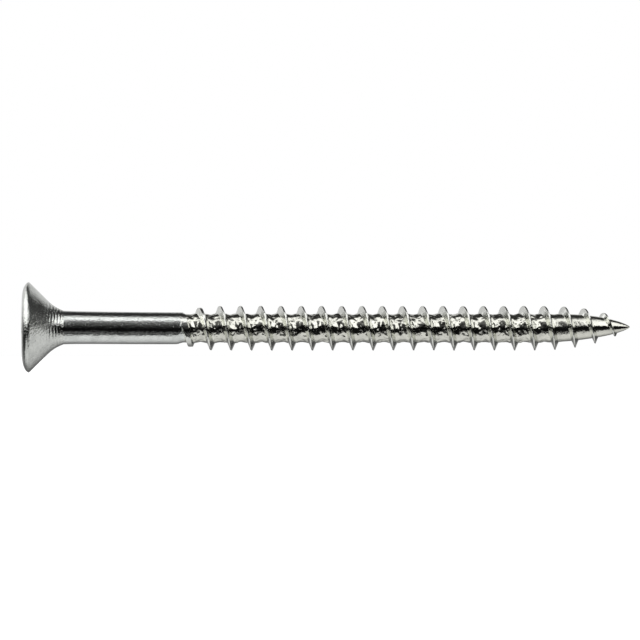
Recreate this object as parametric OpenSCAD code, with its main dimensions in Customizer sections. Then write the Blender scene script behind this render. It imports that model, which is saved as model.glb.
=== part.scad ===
// Countersunk wood screw with a plain shank, a coarse right-hand thread and a gimlet point.
// The screw's axis is +X. The flush face of the head is the plane x = 0, and the tip is at x = screw_length.
// The screw is one forging: each module below is one region of it, and the regions meet face to face.

/* [Overall] */
// Length from the flush face of the head to the tip
screw_length = 60; // [50:1:80]
// Length of the threaded part, from the shoulder to the tip
threaded_length = 44.7; // [38:0.1:46]

/* [Head] */
// Widest diameter of the head, across its rim
head_d = 8.9; // [8.4:0.1:9.4]
// Diameter of the flat part of the head's face, inside its long edge round
flat_face_d = 5.9; // [5.7:0.1:6.4]
// How far the edge round falls from the flat face to the rim
edge_fall = 0.5; // [0.3:0.05:0.6]
// Height of the rim's straight band, between the edge round and the cone
rim_band = 0.18; // [0.1:0.02:0.3]
// Radius of the hollow round that carries the 90 degree countersink into the shank
neck_round = 4.2; // [3.4:0.1:5]
// Slope of the neck's side where it meets the shank, in degrees from the screw's axis
neck_end_slope = 19; // [14:1:26]

/* [Cross recess] */
// Span of the four wings at the flush face
recess_span = 5; // [4.4:0.1:5.4]
// Width of one wing
wing_w = 1.2; // [1:0.05:1.5]
// Span of the wings where they end, at the foot of the recess
wing_foot_span = 2.9; // [2.6:0.1:3.4]
// Depth of the recess at its middle
recess_depth = 2.25; // [1.9:0.05:2.25]

/* [Shank] */
// Diameter of the plain shank beside the thread
shank_d = 3.2; // [3:0.05:3.4]
// How much wider the shank is beside the head
shank_swell = 0.1; // [0:0.02:0.2]

/* [Thread] */
// Outer diameter of the thread
thread_d = 4.4; // [4:0.1:4.8]
// Diameter of the core between the turns
core_d = 2.8; // [2.6:0.05:2.9]
// Advance of the thread in one turn
pitch = 2; // [1.8:0.1:2.2]
// Width of the thread's crest
crest_w = 0.1; // [0.06:0.02:0.2]
// Width of the thread at the core
base_w = 0.76; // [0.6:0.02:1]
// Length over which the thread grows out of the shoulder
start_length = 4; // [3:0.5:5]
// Length of the tapering point
point_length = 8.5; // [7:0.5:10]

/* [Hidden] */
$fn = 96;

plated = [0.78, 0.78, 0.76];
plated_shade = [0.66, 0.67, 0.67];

head_r = head_d / 2;
shank_r = shank_d / 2;
neck_r = (shank_d + shank_swell) / 2;
core_r = core_d / 2;
thread_r = thread_d / 2;

// The 90 degree cone starts at the rim's straight band, and x + r is cone_sum all over it
cone_slope = 45;
cone_sum = head_r + edge_fall + rim_band;
cone_end_r = neck_r + neck_round * (cos(neck_end_slope) - cos(cone_slope));
cone_end_x = cone_sum - cone_end_r;
neck_end_x = cone_end_x + neck_round * (sin(cone_slope) - sin(neck_end_slope));
neck_steps = 6;

// The recess: its wings stop where its tapered middle runs out into a short cone
wing_depth = recess_depth - 0.35;
middle_mouth_r = 1.35;
middle_foot_r = 0.9;
// How far a cutting shape stands out of the flush face
over = 1;

// The shoulder's step and the places along the threaded part
shoulder_length = 0.6;
shoulder_x = screw_length - threaded_length;
core_x = shoulder_x + shoulder_length;
start_end_x = shoulder_x + start_length;
point_x = screw_length - point_length;

// The point's core is a bullet. Its thread shrinks as a quarter ellipse, and stops short of the ellipse's end
bullet_power = 2.2;
bullet_root = 0.7;
bullet_steps = 14;
point_thread_x = point_x - 0.5;
ellipse_end_x = screw_length - 0.7;
thread_end_x = screw_length - 1.1;

// One turn of the thread has this many straight stretches, and its foot stands clear of the core by their bow
turn_steps = 36;
chord_clear = 1 / cos(180 / turn_steps);
// A place where the thread's crest is at the top of the screw
top_crest_x = 19.43;
// Least height of the thread where it begins and ends
least_height = 0.02;

function squared(v) = v * v;

// Radius of the screw under its thread at x
function root_r(x) =
    x < shoulder_x ? shank_r
    : x < core_x ? shank_r + (core_r - shank_r) * (x - shoulder_x) / shoulder_length
    : x < point_x ? core_r
    : bullet_r((x - point_x) / point_length);

// Radius of the point's core at the share u of its length
function bullet_r(u) = core_r * pow(max(0, 1 - pow(u, bullet_power)), bullet_root);

// Radius of the thread's crest at x: it grows over the start, holds, and shrinks over the point
function crest_r(x) =
    x < start_end_x ? thread_r - (thread_r - core_r) * squared((start_end_x - x) / start_length)
    : x < point_thread_x ? thread_r
    : thread_r * sqrt(max(0, 1 - squared((x - point_thread_x) / (ellipse_end_x - point_thread_x))));

// Turns the axis of a solid of revolution from +Z to +X
module along_x() {
    rotate([0, 90, 0]) children();
}

// A ring or disc between two places on the axis, with its own radius at each
module cone_between(x1, r1, x2, r2) {
    along_x() translate([0, 0, x1]) cylinder(h = x2 - x1, r1 = r1, r2 = r2);
}

// The thread's section at an angle about the axis: one foot, the crest's two sides and the other foot.
// The first turns are full-width with a blunt crest, and the turns on the point are narrower with a sharp one
function thread_section(angle) =
    let (x = top_crest_x + pitch * (angle - 90) / 360,
         flank_w = (base_w - crest_w) * max(least_height, crest_r(x) - root_r(x)) / (thread_r - core_r),
         foot_w = x < start_end_x ? base_w : crest_w + flank_w,
         top_w = foot_w - flank_w)
    [for (corner = [[-foot_w, false], [-top_w, true], [top_w, true], [foot_w, false]])
        let (corner_x = x + corner[0] / 2,
             foot_r = root_r(corner_x) * chord_clear,
             r = corner[1] ? max(crest_r(x), foot_r + least_height) : foot_r)
        [corner_x, r * cos(angle), r * sin(angle)]];

// The step of the sweep at which the thread's middle is nearest to x
function step_at(x) = round(turn_steps * (0.25 + (x - top_crest_x) / pitch));

// The thread between two places on the axis, swept in equal steps of angle
module thread_between(x1, x2) {
    first = step_at(x1);
    last = step_at(x2);
    rings = last - first + 1;
    corners = 4;
    points = [for (i = [first:last]) each thread_section(i * 360 / turn_steps)];
    sides = [for (i = [0:rings - 2], c = [0:corners - 1])
        let (a = i * corners + c, b = i * corners + (c + 1) % corners)
        each [[a, b, b + corners], [a, b + corners, a + corners]]];
    end = (rings - 1) * corners;
    caps = [[3, 2, 1, 0], [end, end + 1, end + 2, end + 3]];
    polyhedron(points = points, faces = concat(sides, caps), convexity = 10);
}

// Cross recess: four parallel-sided wings with sloping ends round a tapered middle
module cross_recess() {
    wing_slope = (recess_span - wing_foot_span) / 2 / wing_depth;
    middle_slope = (middle_mouth_r - middle_foot_r) / wing_depth;
    intersection() {
        union() {
            for (turn = [0, 90])
                rotate([turn, 0, 0])
                    translate([-over, -recess_span, -wing_w / 2])
                        cube([wing_depth + over, 2 * recess_span, wing_w]);
        }
        cone_between(-over, recess_span / 2 + over * wing_slope, wing_depth, wing_foot_span / 2);
    }
    cone_between(-over, middle_mouth_r + over * middle_slope, wing_depth, middle_foot_r);
    cone_between(wing_depth, middle_foot_r, recess_depth, 0);
}

// The head's edge round is a quarter ellipse, long across the face and short along the axis
module head() {
    flat_r = flat_face_d / 2;
    round_steps = 9;
    color(plated)
        difference() {
            along_x()
                rotate_extrude()
                    polygon(concat(
                        [[0, 0]],
                        [for (i = [0:round_steps])
                            let (a = 90 * i / round_steps)
                            [flat_r + (head_r - flat_r) * sin(a), edge_fall * (1 - cos(a))]],
                        [[head_r, edge_fall + rim_band], [cone_end_r, cone_end_x], [0, cone_end_x]]));
            cross_recess();
        }
}

module neck() {
    color(plated)
        along_x()
            rotate_extrude()
                polygon(concat(
                    [[0, cone_end_x]],
                    [for (i = [0:neck_steps])
                        let (a = cone_slope + (neck_end_slope - cone_slope) * i / neck_steps)
                        [cone_end_r - neck_round * (cos(a) - cos(cone_slope)),
                         cone_end_x + neck_round * (sin(cone_slope) - sin(a))]],
                    [[0, neck_end_x]]));
}

module shank() {
    color(plated) cone_between(neck_end_x, neck_r, shoulder_x, shank_r);
}

module shoulder() {
    color(plated) cone_between(shoulder_x, shank_r, core_x, core_r);
}

module core() {
    color(plated_shade) cone_between(core_x, core_r, point_x, core_r);
}

module thread_start() {
    color(plated) thread_between(shoulder_x + 0.2, start_end_x);
}

module thread() {
    color(plated) thread_between(start_end_x, point_thread_x);
}

module point() {
    color(plated_shade)
        along_x()
            rotate_extrude()
                polygon(concat(
                    [[0, point_x]],
                    [for (i = [0:bullet_steps])
                        let (share = 1 - squared(1 - i / bullet_steps))
                        [bullet_r(share), point_x + point_length * share]]));
}

module point_thread() {
    color(plated) thread_between(point_thread_x, thread_end_x);
}

head();
neck();
shank();
shoulder();
core();
thread_start();
thread();
point();
point_thread();
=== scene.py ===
"""Looks of a countersunk wood screw: bright zinc plate on a cold-headed, thread-rolled steel wire.

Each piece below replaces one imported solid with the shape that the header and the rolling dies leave.
The screw's axis is +X, its flush face is at x = 0 and its point at the far end. Lengths are in metres.
"""

import math

import bmesh
import bpy
from mathutils import Matrix, Vector, noise


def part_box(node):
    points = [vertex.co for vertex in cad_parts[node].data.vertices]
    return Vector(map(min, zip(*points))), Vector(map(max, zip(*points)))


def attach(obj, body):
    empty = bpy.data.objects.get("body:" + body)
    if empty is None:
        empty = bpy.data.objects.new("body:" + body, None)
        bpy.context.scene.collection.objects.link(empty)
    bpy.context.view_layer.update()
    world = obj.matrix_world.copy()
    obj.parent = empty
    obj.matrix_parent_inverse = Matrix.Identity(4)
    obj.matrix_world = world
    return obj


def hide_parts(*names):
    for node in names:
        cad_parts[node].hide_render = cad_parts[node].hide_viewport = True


bl_info = {
    "name": "Wood screw",
    "version": (1, 0, 0),
    "blender": (4, 5, 0),
    "location": "3D View > Sidebar > Wood screw",
    "description": "Makes the pieces and finishes of a countersunk wood screw",
    "category": "Mesh",
}

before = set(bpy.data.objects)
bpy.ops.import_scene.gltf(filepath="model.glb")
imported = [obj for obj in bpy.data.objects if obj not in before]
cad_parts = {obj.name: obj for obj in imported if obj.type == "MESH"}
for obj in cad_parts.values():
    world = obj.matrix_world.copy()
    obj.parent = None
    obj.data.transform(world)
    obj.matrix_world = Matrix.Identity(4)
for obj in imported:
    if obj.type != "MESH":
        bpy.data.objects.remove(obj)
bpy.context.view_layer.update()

MM = 0.001
BODY = "root"
# Steps round the axis, for the turned pieces and for one turn of the thread
ROUND_STEPS = 96
TURN_STEPS = 64
# Vertices nearer to each other than this are one
MERGE_DISTANCE = 0.0005 * MM
# The plate's slight colour by region: the rolled part is the warmest
HEAD_TINT = (0.98, 1.0, 0.96)
SHANK_TINT = (0.97, 1.0, 0.97)
CORE_TINT = (1.0, 1.0, 0.91)
THREAD_TINT = (0.99, 1.0, 0.95)
# Faces that meet at more than this angle keep a sharp edge
SHARP_ANGLE = math.radians(38)
TOP = math.pi / 2
FULL_TURN = 2 * math.pi


def low_x(node):
    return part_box(node)[0].x


def high_x(node):
    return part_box(node)[1].x


def radius_of(node):
    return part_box(node)[1].z


# ---------------------------------------------------------------- what a user may change


def length(name, description, default):
    """A length that shows in the scene's units."""
    return bpy.props.FloatProperty(
        name=name,
        description=description,
        default=default,
        min=0,
        precision=5,
        unit="LENGTH",
        subtype="DISTANCE",
    )


def share(name, description, default):
    """A plain number from nought to one."""
    return bpy.props.FloatProperty(name=name, description=description, default=default, min=0, max=1)


def colour(name, description, default):
    """A colour in linear light."""
    return bpy.props.FloatVectorProperty(
        name=name,
        description=description,
        default=default,
        size=3,
        min=0,
        max=1,
        subtype="COLOR",
    )


class ScrewSizes(bpy.types.PropertyGroup):
    """Sizes of the screw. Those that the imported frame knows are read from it."""

    head_radius: length("Head radius", "Widest radius of the head", radius_of("head"))
    face_radius: length("Face radius", "Radius of the flat part of the flush face", 2.95 * MM)
    rim_x: length("Rim place", "Where the edge round and the 90 degree cone would meet at the rim", 0.68 * MM)
    cone_end_x: length("Cone end", "Where the 90 degree cone gives way to the neck", high_x("head"))
    cone_end_radius: length("Cone end radius", "Radius at the end of the 90 degree cone", radius_of("neck"))
    neck_end_x: length("Neck end", "Where the neck meets the shank", high_x("neck"))
    neck_end_radius: length("Neck end radius", "Radius of the shank beside the head", radius_of("shank"))
    recess_span: length("Recess span", "Span of the recess's wings at the flush face", 5 * MM)
    recess_wing: length("Recess wing", "Width of one wing of the recess", 1.2 * MM)
    recess_depth: length("Recess depth", "Depth of the recess at its middle", 2.25 * MM)
    shoulder_x: length("Shoulder", "Where the plain shank ends", high_x("shank"))
    shank_radius: length("Shank radius", "Radius of the plain shank", radius_of("shoulder"))
    core_radius: length("Core radius", "Mean radius of the thread's core", radius_of("core"))
    core_start_x: length("Core start", "Where the core begins", low_x("core"))
    core_swell: length(
        "Core swell",
        "How far the core rises beside the thread and sinks between its turns",
        0.05 * MM,
    )
    thread_radius: length("Thread radius", "Radius of the thread's crest", radius_of("thread"))
    pitch: length("Pitch", "Advance of the thread in one turn", 2 * MM)
    top_crest_x: length("Crest place", "A place where the thread's crest is at the top", 19.43 * MM)
    crest_width: length("Crest width", "Width of the thread's crest", 0.1 * MM)
    crest_fall: length("Crest fall", "How much lower the crest is on the side that faces the head", 0.04 * MM)
    foot_width: length("Foot width", "Width of the thread where it leaves the core", 0.74 * MM)
    start_end_x: length(
        "First turns' end",
        "Where the thread reaches its full height",
        (high_x("thread_start") + low_x("thread")) / 2,
    )
    point_thread_x: length(
        "Point thread",
        "Where the thread begins to shrink onto the point",
        (high_x("thread") + low_x("point_thread")) / 2,
    )
    point_x: length("Point", "Where the core begins to taper", low_x("point"))
    tip_x: length("Tip", "Where the screw ends", high_x("point"))
    point_lean: length("Point lean", "How far the pinched tip stands off the axis", 0.12 * MM)
    bow: length("Bow", "How much higher the head stands than the thread", 0.09 * MM)


class ScrewFinish(bpy.types.PropertyGroup):
    """The zinc plate's colours and grain."""

    bright_zinc: colour("Bright zinc", "Plate on the raised and rubbed places", (0.92, 0.92, 0.92))
    grey_zinc: colour("Grey zinc", "Plate in the hollows, where it stays dull", (0.74, 0.74, 0.74))
    polish: share("Polish", "Roughness of the brightest plate", 0.06)
    dullness: share("Dullness", "Roughness that the dull patches add", 0.08)
    grain_depth: length("Grain depth", "Height of the plate's finest grain", 0.009 * MM)


class StudioSettings(bpy.types.PropertyGroup):
    """Where the camera and the floor stand."""

    view_width: length("View width", "Width of the view at the screw", 63.08 * MM)
    view_distance: length("View distance", "Distance from the screw's axis to the camera", 380 * MM)
    view_x: length("View centre", "Place along the screw that the camera faces", 29.28 * MM)
    view_z: length("View height", "Height of the camera over the screw's axis", 0.78 * MM)
    view_turn: bpy.props.FloatProperty(
        name="View turn",
        description="How far the camera stands round towards the head from square to the screw",
        default=math.radians(3),
        subtype="ANGLE",
    )
    floor_drop: length("Floor drop", "How far the floor lies under the screw's axis", 32 * MM)
    floor_size: length("Floor size", "Length of the floor's side", 6.0)


# ---------------------------------------------------------------- the screw's shape as rules


# The thread strays from a true helix. At the bottom it is nearer to the point than at the top by twice
# the first of these. In front it is nearer than the mean of those two by the second, and behind it is
# further by as much.
LATE_BELOW = 0.055 * MM
LATE_IN_FRONT = 0.07 * MM
# The pinched point's bullet: a higher power keeps its start fuller, a lower root makes its tip blunter
BULLET_POWER = 2.2
BULLET_ROOT = 0.72
# The shank's swell beside the head fades over this length, and its far end is this much thinner
SWELL_FADE = 1.1 * MM
DRAWN_THINNING = 0.03 * MM
# The piece for the plain shank gives way to the shoulder's piece this far before the shoulder
SHANK_STOP = 0.3 * MM
# The shoulder's slanted cut: where it starts past the shank's end and how long it is, both at
# mid-height, and by how much it starts later and is shorter at the top
CUT_START = 0.1 * MM
CUT_LATER = 0.32 * MM
CUT_LENGTH = 0.56 * MM
CUT_SHORTER = 0.26 * MM
# The thread begins this far past the shoulder and ends this far before the tip
THREAD_START = 0.2 * MM
THREAD_STOP = 1.1 * MM
# The crest's radius over the point would come to nothing this far before the tip
CREST_STOP = 0.7 * MM
# Least height of the thread over its core
LEAST_HEIGHT = 0.02 * MM
# The share of the bow that lies under the axis, and how far before the tip the point's lean is complete
BOW_BELOW = 0.35
LEAN_STOP = 3 * MM
# The share of half a pitch, from the thread's middle, over which the core keeps its swell
SWELL_SHARE = 0.36
# The core is rolled between these places, counted from the shoulder and from the start of the point's
# taper
ROLLING_COMES = (0.4 * MM, 1.6 * MM)
ROLLING_GOES = (-1 * MM, 2.5 * MM)
# Size and depth of the core's dents, and of the unevenness of the crest
FINE_DENTS = (0.22 * MM, 0.024 * MM)
BROAD_DENTS = (0.45 * MM, 0.05 * MM)
CREST_DENTS = (0.7 * MM, 0.02 * MM)


def from_0_to_1(value):
    return min(1.0, max(0.0, value))


def smooth_step(low, high, value):
    """0 below low, 1 above high, and a smooth rise between them."""
    t = from_0_to_1((value - low) / (high - low))
    return t * t * (3 - 2 * t)


def angle_of(co):
    """Angle of a point about the screw's axis, from +Y towards +Z."""
    return math.atan2(co.z, co.y)


def radius_at(co):
    return math.hypot(co.y, co.z)


def helix_middle(sizes, x, angle):
    """The place nearest to x where a true helix passes this angle."""
    base = sizes.top_crest_x + sizes.pitch * (angle - TOP) / FULL_TURN
    return base + sizes.pitch * round((x - base) / sizes.pitch)


def askew(angle):
    """How far the dies left the thread from a true helix at this angle, which is the same in each turn."""
    return LATE_BELOW * (1 - math.sin(angle)) - LATE_IN_FRONT * math.cos(angle)


def ridge_middle(sizes, x, angle):
    """The place nearest to x where the thread's middle passes this angle."""
    return helix_middle(sizes, x - askew(angle), angle) + askew(angle)


def bullet_radius(sizes, x):
    """Radius of the pinched point's core."""
    done = from_0_to_1((x - sizes.point_x) / (sizes.tip_x - sizes.point_x))
    return sizes.core_radius * (1 - done**BULLET_POWER) ** BULLET_ROOT


def drawn_radius(sizes, x):
    """Radius of the plain shank: swelled beside the head, and drawn slightly thinner towards the shoulder."""
    past_neck = x - sizes.neck_end_x
    swell = (sizes.neck_end_radius - sizes.shank_radius) * math.exp(-past_neck / SWELL_FADE)
    thinned = DRAWN_THINNING * min(1.0, past_neck / (sizes.shoulder_x - sizes.neck_end_x))
    return sizes.shank_radius + swell - thinned


def shoulder_radius(sizes, x, angle):
    """The shank's end, which the dies cut at a slant: late and steep at the top, early and gentle below."""
    upness = math.sin(angle)
    start = sizes.shoulder_x + CUT_START + CUT_LATER * upness
    end = start + CUT_LENGTH - CUT_SHORTER * upness
    shank = drawn_radius(sizes, x)
    return shank + (sizes.core_radius - shank) * smooth_step(start, end, x)


def root_radius(sizes, x, angle):
    """Radius of the screw under its thread."""
    if x < sizes.point_x:
        return shoulder_radius(sizes, x, angle)
    return bullet_radius(sizes, x)


def crest_radius(sizes, x):
    """Radius of the thread's crest: it grows from the shoulder, holds, and shrinks over the point."""
    if x < sizes.start_end_x:
        left = (sizes.start_end_x - x) / (sizes.start_end_x - sizes.shoulder_x)
        return sizes.thread_radius - (sizes.thread_radius - sizes.core_radius) * left**2
    if x < sizes.point_thread_x:
        return sizes.thread_radius
    end = sizes.tip_x - CREST_STOP
    done = min(1.0, (x - sizes.point_thread_x) / (end - sizes.point_thread_x))
    return sizes.thread_radius * math.sqrt(1 - done**2)


def hammering(co, size, depth):
    """Height of the uneven dents that rolling leaves, of a given size and depth."""
    return depth * noise.noise(co / size)


def axis_height(sizes, x):
    """How far the screw stands over its axis: rolling bows it a little, and the pinched tip leans up."""
    bow = sizes.bow * (1 - smooth_step(0, sizes.shoulder_x, x)) - sizes.bow * BOW_BELOW
    return bow + sizes.point_lean * smooth_step(sizes.point_thread_x, sizes.tip_x - LEAN_STOP, x)


def rolled_core_radius(sizes, co):
    """Radius of the rolled core at a point: swelled beside the thread, sunk between turns, and dented."""
    angle = angle_of(co)
    root = root_radius(sizes, co.x, angle)
    off = abs(co.x - ridge_middle(sizes, co.x, angle)) / (sizes.pitch / 2)
    wave = math.cos(math.pi * from_0_to_1((off - SWELL_SHARE) / (1 - SWELL_SHARE)))
    past_shoulder = co.x - sizes.shoulder_x
    past_taper = co.x - sizes.point_x
    rolled = smooth_step(*ROLLING_COMES, past_shoulder) * (1 - smooth_step(*ROLLING_GOES, past_taper))
    dents = hammering(co, *FINE_DENTS) + hammering(co, *BROAD_DENTS)
    return root + rolled * (sizes.core_swell * wave + dents)


# ---------------------------------------------------------------- mesh helpers


def chain(bm, outline, closed=False):
    """Joins a few (x, radius) points above the axis into a path of edges, or into one face."""
    verts = [bm.verts.new((x, 0, radius)) for x, radius in outline]
    for a, b in zip(verts, verts[1:]):
        bm.edges.new((a, b))
    if closed:
        bm.faces.new(verts)


def stretch(x1, r1, x2, r2, count):
    """Points along a straight line, both ends included."""
    return [(x1 + (x2 - x1) * i / count, r1 + (r2 - r1) * i / count) for i in range(count + 1)]


def turn_about_axis(bm):
    """Turns the path in a bmesh once about the screw's axis, and closes its poles."""
    bmesh.ops.spin(
        bm,
        geom=bm.verts[:] + bm.edges[:],
        cent=(0, 0, 0),
        axis=(1, 0, 0),
        angle=FULL_TURN,
        steps=ROUND_STEPS,
        use_merge=True,
    )
    bmesh.ops.remove_doubles(bm, verts=bm.verts, dist=MERGE_DISTANCE)


def turned_solid(outline):
    """A closed solid of revolution from an open outline, with a flat end at each side."""
    bm = bmesh.new()
    chain(bm, [(outline[0][0], 0.0)] + outline + [(outline[-1][0], 0.0)])
    turn_about_axis(bm)
    return bm


def set_radii(bm, radius_rule):
    """Moves each vertex off the axis to the radius that a rule gives it, and leaves end centres alone."""
    for vert in bm.verts:
        now = radius_at(vert.co)
        if now > MERGE_DISTANCE:
            factor = radius_rule(vert.co) / now
            vert.co.y *= factor
            vert.co.z *= factor


def add_piece(bm, name, material, nodes):
    """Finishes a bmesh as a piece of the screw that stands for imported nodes."""
    sizes = bpy.context.scene.screw_sizes
    for vert in bm.verts:
        vert.co.z += axis_height(sizes, vert.co.x)
    bmesh.ops.recalc_face_normals(bm, faces=bm.faces)
    for face in bm.faces:
        face.smooth = True
    for edge in bm.edges:
        edge.smooth = edge.calc_face_angle(0.0) < SHARP_ANGLE
    mesh = bpy.data.meshes.new(name)
    bm.to_mesh(mesh)
    bm.free()
    mesh.materials.append(material)
    piece = bpy.data.objects.new(name, mesh)
    bpy.context.scene.collection.objects.link(piece)
    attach(piece, BODY)
    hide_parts(*nodes)


# ---------------------------------------------------------------- shader maths


class Number:
    """A number or vector inside a node tree. Python's operators on it add the nodes that work it out."""

    def __init__(self, tree, socket):
        self.tree = tree
        self.socket = socket

    def maths(self, operation, *others, swapped=False):
        values = [*others, self] if swapped else [self, *others]
        made = self.tree.node("ShaderNodeMath", {"operation": operation}, dict(enumerate(values)))
        return self.tree.number(made)

    def __add__(self, other):
        return self.maths("ADD", other)

    def __sub__(self, other):
        return self.maths("SUBTRACT", other)

    def __rsub__(self, other):
        return self.maths("SUBTRACT", other, swapped=True)

    def __mul__(self, other):
        return self.maths("MULTIPLY", other)

    def __truediv__(self, other):
        return self.maths("DIVIDE", other)

    __radd__ = __add__
    __rmul__ = __mul__

    def rise(self, low, high):
        """0 where this is below low, 1 above high, and smooth between."""
        made = self.tree.node(
            "ShaderNodeMapRange",
            {"interpolation_type": "SMOOTHSTEP"},
            {"Value": self, "From Min": low, "From Max": high},
        )
        return self.tree.number(made)


class Tree:
    """Adds nodes to a material's or a world's node tree."""

    def __init__(self, owner):
        owner.use_nodes = True
        self.nodes = owner.node_tree.nodes
        self.links = owner.node_tree.links
        self.nodes.clear()

    def node(self, kind, settings=None, inputs=None):
        """Adds one node: its settings first, then a value or a link for each named or numbered socket."""
        made = self.nodes.new(kind)
        for name, value in (settings or {}).items():
            if name == "stops":
                self.set_stops(made.color_ramp, value)
            else:
                setattr(made, name, value)
        for name, value in (inputs or {}).items():
            if isinstance(value, Number):
                value = value.socket
            if isinstance(value, bpy.types.NodeSocket):
                self.links.new(value, made.inputs[name])
            else:
                made.inputs[name].default_value = value
        return made

    @staticmethod
    def set_stops(ramp, stops):
        """Gives a colour ramp its stops, each a place and a grey."""
        while len(ramp.elements) < len(stops):
            ramp.elements.new(1.0)
        for element, (place, tone) in zip(ramp.elements, stops):
            element.position = place
            element.color = (tone, tone, tone, 1)

    def number(self, made, output=0):
        return Number(self, made.outputs[output])

    def place_mm(self):
        """The point being shaded, in millimetres in the screw's own frame."""
        place = self.node("ShaderNodeTexCoord").outputs["Object"]
        inputs = {0: place, "Scale": 1 / MM}
        return self.node("ShaderNodeVectorMath", {"operation": "SCALE"}, inputs).outputs[0]

    def noise(self, place, per_mm, detail=2.0, roughness=0.5):
        """Soft noise from 0 to 1, with a given number of waves to the millimetre."""
        inputs = {"Vector": place, "Scale": per_mm, "Detail": detail, "Roughness": roughness}
        return self.number(self.node("ShaderNodeTexNoise", None, inputs))

    def split(self, vector):
        """The three parts of a vector."""
        made = self.node("ShaderNodeSeparateXYZ", None, {0: vector})
        return [self.number(made, i) for i in range(3)]

    def blend(self, factor, one, other):
        """A colour between two, each a colour or a link to one."""
        made = self.node("ShaderNodeMix", {"data_type": "RGBA"}, {0: factor})
        for socket, value in ((made.inputs[6], one), (made.inputs[7], other)):
            if isinstance(value, bpy.types.NodeSocket):
                self.links.new(value, socket)
            else:
                socket.default_value = (*value, 1)
        return made.outputs[2]


# ---------------------------------------------------------------- finishes


# Heights of the plate's fine and broad grain, in grain depths, and how much of its dullness lies in
# broad patches and in the hollows of the fine grain
FINE_GRAIN = 3.2
BROAD_GRAIN = 1.6
DULL_PATCHES = 0.6
DULL_HOLLOWS = 0.4
# Between these levels of their noise, patches turn dull and hollows turn bright
PATCH_EDGE = (0.42, 0.7)
HOLLOW_EDGE = (0.3, 0.62)
# The header's rings: radians to the millimetre, how far noise shifts them, how high they are all over
# the head and how much higher near the neck, and the places in millimetres where those higher ones come
# and go
RING_RATE = 22
RING_SHIFT = 5
RING_HEIGHT = 0.06
NECK_RING_HEIGHT = 0.9
NECK_RINGS_COME = (1.9, 2.6)
NECK_RINGS_GO = (3.8, 4.1)
# Heights of the head's waves, the shank's drawn lines, the core's dents and the thread's waves, in
# grain depths
HEADER_WAVES = 2.5
DRAWN_LINES = 1.2
ROLLED_DENTS = 7.0
FLANK_WAVES = 3.0
# Noise scaled down along the axis, which draws it out into lines
DRAWN_OUT = (0.25, 1.0, 1.0)


def zinc(name, finish, tint, marks, grain):
    """Bright zinc plate. grain scales its own grain, and marks adds what the making of this region leaves."""
    material = bpy.data.materials.new(name)
    tree = Tree(material)
    place = tree.place_mm()
    patches = tree.noise(place, per_mm=0.9, detail=3.0)
    fine = tree.noise(place, per_mm=6.0, roughness=0.6)
    broad = tree.noise(place, per_mm=3.0)
    height = fine * (FINE_GRAIN * grain) + broad * (BROAD_GRAIN * grain) + marks(tree, place)
    bump = tree.node("ShaderNodeBump", None, {"Distance": finish.grain_depth, "Height": height})
    dull = patches.rise(*PATCH_EDGE) * DULL_PATCHES + (1 - fine.rise(*HOLLOW_EDGE)) * DULL_HOLLOWS
    bright = [a * b for a, b in zip(finish.bright_zinc, tint)]
    grey = [a * b for a, b in zip(finish.grey_zinc, tint)]
    tone = tree.blend(dull, bright, grey)
    plate = tree.node(
        "ShaderNodeBsdfPrincipled",
        None,
        {
            "Base Color": tone,
            "Metallic": 1.0,
            "Roughness": dull * finish.dullness + finish.polish,
            "Normal": bump.outputs["Normal"],
        },
    )
    tree.node("ShaderNodeOutputMaterial", None, {"Surface": plate.outputs[0]})
    return material


def header_marks(tree, place):
    """Soft waves all over the head, and the rings that the header's die leaves, mostly near the neck."""
    along, _, _ = tree.split(place)
    shifts = tree.noise(place, per_mm=1.4, detail=1.0)
    rings = (along * RING_RATE + shifts * RING_SHIFT).maths("SINE")
    near_neck = along.rise(*NECK_RINGS_COME) * (1 - along.rise(*NECK_RINGS_GO))
    waves = tree.noise(place, per_mm=1.6, detail=1.0)
    return rings * (near_neck * NECK_RING_HEIGHT + RING_HEIGHT) + waves * HEADER_WAVES


def drawn_marks(tree, place):
    """Long faint lines of the drawn wire, and the slight waviness of its plate."""
    drawn = tree.node("ShaderNodeMapping", None, {"Vector": place, "Scale": DRAWN_OUT}).outputs[0]
    return tree.noise(drawn, per_mm=3.2) * DRAWN_LINES


def rolled_marks(tree, place):
    """Small dents and scale that the rolling dies press into the core."""
    cells = tree.node("ShaderNodeTexVoronoi", {"feature": "SMOOTH_F1"}, {"Vector": place, "Scale": 2.6})
    return tree.number(cells, "Distance") * ROLLED_DENTS


def crest_marks(tree, place):
    """Soft waves along the rolled flanks and the point."""
    return tree.noise(place, per_mm=1.7, detail=1.0) * FLANK_WAVES


# ---------------------------------------------------------------- pieces


# The head's edge round is part of an ellipse that stops at this angle, and this is half of the small
# corner between it and the cone
ROUND_END = math.radians(82)
RIM_CORNER = 0.055 * MM
CONE_SLOPE = math.radians(45)
# The recess: the rounds of its cross between the wings and at their ends, the depth of its pointed
# foot, what its walls and its foot narrow to, and the bevel round its mouth
BETWEEN_WINGS_ROUND = 0.5 * MM
WING_END_ROUND = 0.2 * MM
RECESS_FOOT = 0.35 * MM
WALL_NARROWING = 0.6
FOOT_NARROWING = 0.2
MOUTH_BEVEL = 0.05 * MM
# The thread's foot, as (how far it spreads, how far it stands over the core), and the shares of its
# flank's height that get a point
THREAD_FOOT = ((0.05 * MM, -0.09 * MM), (0.02 * MM, 0.0), (-0.03 * MM, 0.1 * MM))
FLANK_PLACES = (0.3, 0.5, 0.7, 0.85, 0.95)
# The crest from the head's side to the point's side, as (share of half its width, share of its fall)
CREST_LAND = ((-1.6, 1.0), (-0.9, 0.6), (-0.2, 0.0), (1.0, 0.0))
# Distance between the rings of vertices along the core
CORE_SPACING = 0.07 * MM


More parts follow.
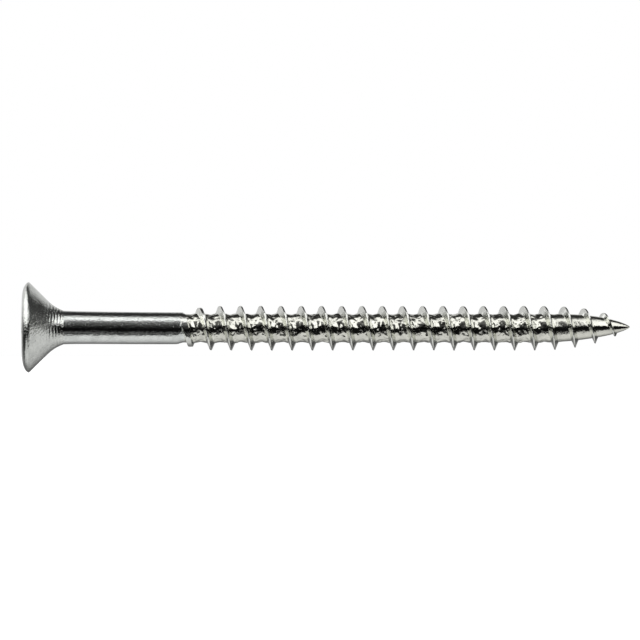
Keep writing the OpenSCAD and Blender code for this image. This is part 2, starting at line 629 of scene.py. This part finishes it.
def head_outline(sizes):
    """The head's side from the flat face's edge to the end of the cone."""
    fall = (sizes.rim_x - RIM_CORNER) / (1 - math.cos(ROUND_END))
    width = (sizes.head_radius - sizes.face_radius) / math.sin(ROUND_END)
    steps = 20
    points = []
    for i in range(steps + 1):
        a = ROUND_END * i / steps
        points.append((fall * (1 - math.cos(a)), sizes.face_radius + width * math.sin(a)))
    cone_x = sizes.rim_x + RIM_CORNER
    cone_radius = sizes.head_radius - RIM_CORNER
    return points + stretch(cone_x, cone_radius, sizes.cone_end_x, sizes.cone_end_radius, 10)


def neck_outline(sizes):
    """A hollow round from the cone's slope to a shallow slope at the shank."""
    run = sizes.neck_end_x - sizes.cone_end_x
    drop = sizes.cone_end_radius - sizes.neck_end_radius
    # The end slope is the one that carries the round from the cone's end to the neck's end
    end_slope = 2 * math.atan2(drop, run) - CONE_SLOPE
    bend = run / (math.sin(CONE_SLOPE) - math.sin(end_slope))
    steps = 16
    points = []
    for i in range(steps + 1):
        a = CONE_SLOPE + (end_slope - CONE_SLOPE) * i / steps
        x = sizes.cone_end_x + bend * (math.sin(CONE_SLOPE) - math.sin(a))
        points.append((x, sizes.cone_end_radius - bend * (math.cos(a) - math.cos(CONE_SLOPE))))
    return points


def recess_mouth(bm, sizes):
    """A flat cross with rounded corners on the flush face, as one face."""
    half_span, half_wing = sizes.recess_span / 2, sizes.recess_wing / 2
    wing = [
        Vector((0, half_span, -half_wing)),
        Vector((0, half_span, half_wing)),
        Vector((0, half_wing, half_wing)),
    ]
    corners = [Matrix.Rotation(TOP * turn, 3, "X") @ corner for turn in range(4) for corner in wing]
    bm.faces.new([bm.verts.new(corner) for corner in corners])
    inner = [v for v in bm.verts if radius_at(v.co) < half_span]
    outer = [v for v in bm.verts if radius_at(v.co) > half_span]
    for verts, width in ((inner, BETWEEN_WINGS_ROUND), (outer, WING_END_ROUND)):
        bmesh.ops.bevel(
            bm,
            geom=verts,
            offset=width,
            segments=4,
            profile=0.5,
            affect="VERTICES",
            material=-1,
            clamp_overlap=True,
        )
    return bm.faces[:][0]


def sink(bm, face, depth, narrowing):
    """Pushes a face into the head by a depth and narrows it towards the axis."""
    pushed = bmesh.ops.extrude_face_region(bm, geom=[face])["geom"]
    verts = [g for g in pushed if isinstance(g, bmesh.types.BMVert)]
    bmesh.ops.translate(bm, verts=verts, vec=(depth, 0, 0))
    bmesh.ops.scale(bm, verts=verts, vec=(1, narrowing, narrowing))
    bmesh.ops.delete(bm, geom=[face], context="FACES_ONLY")
    return next(g for g in pushed if isinstance(g, bmesh.types.BMFace))


def head_mesh(sizes):
    """The countersunk head: a turned shell, closed at the front by the flush face and its cross recess."""
    bm = bmesh.new()
    mouth = recess_mouth(bm, sizes)
    mouth_edges = list(mouth.edges)
    foot = sink(bm, mouth, sizes.recess_depth - RECESS_FOOT, WALL_NARROWING)
    foot = sink(bm, foot, RECESS_FOOT, FOOT_NARROWING)
    bmesh.ops.poke(bm, faces=[foot])
    shell = bmesh.new()
    outline = head_outline(sizes)
    chain(shell, outline + [(outline[-1][0], 0.0)])
    turn_about_axis(shell)
    shell_mesh = bpy.data.meshes.new("head_shell")
    shell.to_mesh(shell_mesh)
    shell.free()
    recess_verts = set(bm.verts)
    bm.from_mesh(shell_mesh)
    bpy.data.meshes.remove(shell_mesh)
    rim = [e for e in bm.edges if e.is_boundary and not set(e.verts) & recess_verts]
    bmesh.ops.triangle_fill(bm, edges=rim + mouth_edges, use_beauty=True, normal=(-1, 0, 0))
    bmesh.ops.bevel(
        bm,
        geom=mouth_edges,
        offset=MOUTH_BEVEL,
        segments=1,
        profile=0.5,
        affect="EDGES",
        material=-1,
        clamp_overlap=True,
    )
    return bm


def shank_outline(sizes):
    """The plain shank, from the neck to just before the shoulder."""
    span = sizes.shoulder_x - SHANK_STOP - sizes.neck_end_x
    count = 70
    places = [sizes.neck_end_x + span * i / count for i in range(count + 1)]
    return [(x, drawn_radius(sizes, x)) for x in places]


def thread_section(sizes):
    """The thread's section, as (across, radius), with its foot sunk in the core and a crest that leans."""
    half_foot = sizes.foot_width / 2
    half_crest = sizes.crest_width / 2
    core, crest = sizes.core_radius, sizes.thread_radius
    point_side = [(half_foot + spread, core + height) for spread, height in THREAD_FOOT]
    for place in FLANK_PLACES:
        point_side.append((half_foot + (half_crest - half_foot) * place, core + (crest - core) * place))
    head_side = [(-across, radius) for across, radius in point_side]
    land = [(half_crest * across, crest - sizes.crest_fall * lower) for across, lower in CREST_LAND]
    return head_side + land + point_side[::-1]


def shape_thread(sizes, co):
    """Where a point of a plain helical thread goes once the thread follows the shoulder and the point."""
    angle = angle_of(co)
    true_middle = helix_middle(sizes, co.x, angle)
    middle = true_middle + askew(angle)
    full = sizes.thread_radius - sizes.core_radius
    rise = (radius_at(co) - sizes.core_radius) / full
    height = max(LEAST_HEIGHT, crest_radius(sizes, middle) - root_radius(sizes, middle, angle))
    # The thread narrows as its height falls, but the first turns keep their full foot
    flank = (sizes.foot_width - sizes.crest_width) * height / full
    foot = sizes.foot_width if middle < sizes.start_end_x else sizes.crest_width + flank
    straight = (sizes.foot_width + (sizes.crest_width - sizes.foot_width) * rise) / 2
    beyond = abs(co.x - true_middle) - straight
    across = max(0.0, (foot - flank * rise) / 2 + beyond)
    x = middle + math.copysign(across, co.x - true_middle)
    # The foot follows the core beside it, and its sunk part keeps its depth
    root = root_radius(sizes, x, angle)
    radius = root + rise * (max(LEAST_HEIGHT, crest_radius(sizes, middle) - root) if rise > 0 else full)
    wander = hammering(Vector((middle, angle * MM, 0)), *CREST_DENTS) * from_0_to_1(rise)
    radius += wander * height / full
    return Vector((x, radius * math.cos(angle), radius * math.sin(angle)))


def thread_mesh(sizes, start_x, end_x):
    """The thread between two places on the axis."""
    bm = bmesh.new()
    chain(bm, [(start_x + across, radius) for across, radius in thread_section(sizes)], closed=True)
    turns = (end_x - start_x) / sizes.pitch
    steps = max(1, round(turns * TURN_STEPS))
    bmesh.ops.spin(
        bm,
        geom=bm.verts[:] + bm.edges[:] + bm.faces[:],
        cent=(0, 0, 0),
        axis=(1, 0, 0),
        dvec=((end_x - start_x) / steps, 0, 0),
        angle=turns * FULL_TURN,
        steps=steps,
    )
    first_angle = (start_x - sizes.top_crest_x) / sizes.pitch * FULL_TURN
    bmesh.ops.rotate(bm, verts=bm.verts, cent=(0, 0, 0), matrix=Matrix.Rotation(first_angle, 3, "X"))
    for vert in bm.verts:
        vert.co = shape_thread(sizes, vert.co)
    return bm


class ScrewOperator(bpy.types.Operator):
    """What the piece operators share."""

    bl_options = {"REGISTER", "UNDO"}

    def execute(self, context):
        self.make(context.scene.screw_sizes, context.scene.screw_finish)
        return {"FINISHED"}


class SCREW_OT_head(ScrewOperator):
    """Makes the pressed head with its cross recess, and the neck under it"""

    bl_idname = "screw.add_head"
    bl_label = "Head and neck"

    def make(self, sizes, finish):
        pressed = zinc("pressed_zinc", finish, HEAD_TINT, header_marks, grain=1.0)
        add_piece(head_mesh(sizes), "countersunk_head", pressed, ["head"])
        neck = turned_solid(neck_outline(sizes))
        add_piece(neck, "hollow_neck", pressed, ["neck"])


class SCREW_OT_shank(ScrewOperator):
    """Makes the plain shank of drawn wire"""

    bl_idname = "screw.add_shank"
    bl_label = "Plain shank"

    def make(self, sizes, finish):
        drawn = zinc("drawn_zinc", finish, SHANK_TINT, drawn_marks, grain=0.8)
        add_piece(turned_solid(shank_outline(sizes)), "plain_shank", drawn, ["shank"])


class SCREW_OT_core(ScrewOperator):
    """Makes the slanted shoulder, the rolled core and the pinched point"""

    bl_idname = "screw.add_core"
    bl_label = "Shoulder, core and point"

    def make(self, sizes, finish):
        drawn = zinc("shoulder_zinc", finish, SHANK_TINT, drawn_marks, grain=0.8)
        rolled = zinc("rolled_zinc", finish, CORE_TINT, rolled_marks, grain=0.5)
        pinched = zinc("pinched_zinc", finish, CORE_TINT, crest_marks, grain=0.5)
        start = sizes.shoulder_x - SHANK_STOP
        places = (
            ("rolled_shoulder", start, sizes.core_start_x, drawn, "shank_plate", "shoulder"),
            ("thread_core", sizes.core_start_x, sizes.point_x, rolled, "core_plate", "core"),
            ("gimlet_point", sizes.point_x, sizes.tip_x, pinched, "core_plate", "point"),
        )
        for name, x1, x2, material, slot, node in places:
            count = round((x2 - x1) / CORE_SPACING)
            bm = turned_solid(stretch(x1, sizes.core_radius, x2, sizes.core_radius, count))
            set_radii(bm, lambda co: max(2 * MERGE_DISTANCE, rolled_core_radius(sizes, co)))
            bmesh.ops.remove_doubles(bm, verts=bm.verts, dist=5 * MERGE_DISTANCE)
            add_piece(bm, name, material, [node])


class SCREW_OT_thread(ScrewOperator):
    """Makes the thread in three lengths: its first turns, the full thread and the turns on the point"""

    bl_idname = "screw.add_thread"
    bl_label = "Thread"

    def make(self, sizes, finish):
        rolled = zinc("thread_zinc", finish, THREAD_TINT, crest_marks, grain=0.7)
        lengths = (
            ("first_turns", sizes.shoulder_x + THREAD_START, sizes.start_end_x, "thread_start"),
            ("full_thread", sizes.start_end_x, sizes.point_thread_x, "thread"),
            ("point_turns", sizes.point_thread_x, sizes.tip_x - THREAD_STOP, "point_thread"),
        )
        for name, start_x, end_x, node in lengths:
            add_piece(thread_mesh(sizes, start_x, end_x), name, rolled, [node])


# ---------------------------------------------------------------- the studio


# Tones of the studio by angle round the screw's axis, in degrees: -180 is level behind the screw, -90
# is below it, 0 is level in front of it and 90 is overhead. A white table lies below, a dark wall with
# one thin lit edge stands in front, a soft box hangs high in front of a dark ceiling, and the wall
# behind is lit above and dark below.
STUDIO_TONES = (
    (-180, 0.45),
    (-168, 0.12),
    (-150, 0.15),
    (-131, 0.25),
    (-116, 0.45),
    (-100, 0.62),
    (-66, 0.7),
    (-57, 0.7),
    (-53, 0.02),
    (-44, 0.01),
    (-38.5, 0.01),
    (-37, 0.35),
    (-35, 0.35),
    (-33.5, 0.01),
    (-5, 0.0),
    (7, 0.02),
    (22, 0.05),
    (34, 0.11),
    (50, 0.17),
    (58, 1.15),
    (77, 1.15),
    (87, 0.25),
    (98, 0.04),
    (112, 0.02),
    (142, 0.05),
    (150, 0.55),
    (180, 0.65),
)

# Tones of the studio's sides by height, from -1 straight down to 1 straight up, all over a white table.
# The head's side is dark under a soft box. Behind the screw it has grey and then white over a low dark
# card.
HEAD_SIDE_TONES = (
    (-1, 0.6),
    (-0.42, 0.55),
    (-0.34, 0.01),
    (0.05, 0.01),
    (0.1, 1.3),
    (0.9, 1.3),
    (0.97, 0.1),
)
HEAD_CARD_TONES = (
    (-1, 0.5),
    (-0.36, 0.45),
    (-0.28, 0.03),
    (0.05, 0.03),
    (0.1, 0.5),
    (0.32, 0.55),
    (0.42, 1.1),
    (1, 1.1),
)
# The point's side is dark. It has a soft box in front of the screw, and a low dark card under grey
# behind it.
POINT_SIDE_TONES = (
    (-1, 0.5),
    (-0.3, 0.6),
    (-0.06, 0.6),
    (0.0, 0.05),
    (0.2, 0.09),
    (0.4, 0.04),
    (1, 0.05),
)
POINT_BOX_TONES = (
    (-1, 0.6),
    (-0.66, 0.6),
    (-0.58, 0.01),
    (0.22, 0.0),
    (0.32, 1.2),
    (0.85, 1.2),
    (0.95, 0.1),
)
POINT_CARD_TONES = (
    (-1, 0.5),
    (-0.36, 0.45),
    (-0.28, 0.05),
    (0.1, 0.05),
    (0.18, 0.5),
    (1, 0.5),
)


def studio_world(name):
    """Soft studio light: white to the eye, and a table, walls and soft boxes in the screw's reflections."""
    world = bpy.data.worlds.new(name)
    tree = Tree(world)
    direction = tree.node("ShaderNodeTexCoord").outputs["Generated"]
    along, across, up = tree.split(direction)

    def tones(share_of, stops):
        return tree.node("ShaderNodeValToRGB", {"stops": stops}, {0: share_of}).outputs[0]

    def side(table):
        return tones(up * 0.5 + 0.5, [((height + 1) / 2, tone) for height, tone in table])

    round_axis = up.maths("ARCTAN2", across * -1.0) / FULL_TURN + 0.5
    lit = tones(round_axis, [((degrees + 180) / 360, tone) for degrees, tone in STUDIO_TONES])
    to_head = (along * -1.0).rise(0.52, 0.66)
    to_point = along.rise(0.5, 0.75)
    past_middle = along.rise(0.2, 0.32)
    near_point = along.rise(0.35, 0.5)
    in_front = (across * -1.0).rise(0.12, 0.3)
    behind = across.rise(0.56, 0.66)
    for covers, table in (
        (to_head, HEAD_SIDE_TONES),
        (to_head * behind, HEAD_CARD_TONES),
        (to_point, POINT_SIDE_TONES),
        (past_middle * in_front, POINT_BOX_TONES),
        (near_point * behind, POINT_CARD_TONES),
    ):
        lit = tree.blend(covers, lit, side(table))
    seen = tree.node("ShaderNodeLightPath").outputs["Is Camera Ray"]
    shown = tree.blend(seen, lit, (1.0, 1.0, 1.0))
    background = tree.node("ShaderNodeBackground", None, {"Color": shown})
    tree.node("ShaderNodeOutputWorld", None, {"Surface": background.outputs[0]})
    return world


def pale_floor(settings):
    """A plain pale floor below the screw, left out of its reflections."""
    bm = bmesh.new()
    bmesh.ops.create_grid(bm, x_segments=1, y_segments=1, size=settings.floor_size / 2)
    bmesh.ops.translate(bm, verts=bm.verts, vec=(settings.view_x, 0, -settings.floor_drop))
    mesh = bpy.data.meshes.new("floor")
    bm.to_mesh(mesh)
    bm.free()
    material = bpy.data.materials.new("pale_floor")
    tree = Tree(material)
    surface = tree.node(
        "ShaderNodeBsdfPrincipled",
        None,
        {
            "Base Color": (0.8, 0.8, 0.8, 1),
            "Roughness": 0.9,
            "Specular IOR Level": 0.1,
            "Emission Color": (1, 1, 1, 1),
            "Emission Strength": 0.8,
        },
    )
    tree.node("ShaderNodeOutputMaterial", None, {"Surface": surface.outputs[0]})
    mesh.materials.append(material)
    floor = bpy.data.objects.new("floor", mesh)
    bpy.context.scene.collection.objects.link(floor)
    floor.visible_glossy = False
    return floor


class SCREW_OT_stage(bpy.types.Operator):
    """Makes the pale floor, the soft studio light and the camera"""

    bl_idname = "screw.add_stage"
    bl_label = "Stage"
    bl_options = {"REGISTER", "UNDO"}

    def execute(self, context):
        settings = context.scene.screw_studio
        pale_floor(settings)
        context.scene.world = studio_world("soft_studio")
        context.scene.view_settings.view_transform = "Standard"
        camera = bpy.data.cameras.new("camera")
        camera.lens = camera.sensor_width * settings.view_distance / settings.view_width
        camera.clip_start = settings.view_distance * 0.1
        camera.clip_end = settings.floor_size
        holder = bpy.data.objects.new("camera", camera)
        holder.location = (
            settings.view_x - settings.view_distance * math.sin(settings.view_turn),
            -settings.view_distance * math.cos(settings.view_turn),
            settings.view_z,
        )
        holder.rotation_euler = (TOP, 0, -settings.view_turn)
        context.scene.collection.objects.link(holder)
        context.scene.camera = holder
        return {"FINISHED"}


class SCREW_PT_panel(bpy.types.Panel):
    """The sizes, the finish and the buttons that make each piece"""

    bl_idname = "SCREW_PT_panel"
    bl_label = "Wood screw"
    bl_space_type = "VIEW_3D"
    bl_region_type = "UI"
    bl_category = "Wood screw"

    def draw(self, context):
        layout = self.layout
        for operator in OPERATORS:
            layout.operator(operator.bl_idname)
        for group in (context.scene.screw_sizes, context.scene.screw_finish, context.scene.screw_studio):
            box = layout.box()
            for name in group.bl_rna.properties.keys():
                if name not in ("rna_type", "name"):
                    box.prop(group, name)


OPERATORS = (SCREW_OT_head, SCREW_OT_shank, SCREW_OT_core, SCREW_OT_thread, SCREW_OT_stage)
GROUPS = {"screw_sizes": ScrewSizes, "screw_finish": ScrewFinish, "screw_studio": StudioSettings}


def register():
    for kind in (*GROUPS.values(), *OPERATORS, SCREW_PT_panel):
        bpy.utils.register_class(kind)
    for name, kind in GROUPS.items():
        setattr(bpy.types.Scene, name, bpy.props.PointerProperty(type=kind))


def unregister():
    for name in GROUPS:
        delattr(bpy.types.Scene, name)
    for kind in reversed((*GROUPS.values(), *OPERATORS, SCREW_PT_panel)):
        bpy.utils.unregister_class(kind)


def main():
    register()
    bpy.ops.screw.add_stage()
    bpy.ops.screw.add_head()
    bpy.ops.screw.add_shank()
    bpy.ops.screw.add_core()
    bpy.ops.screw.add_thread()


if __name__ == "__main__":
    main()
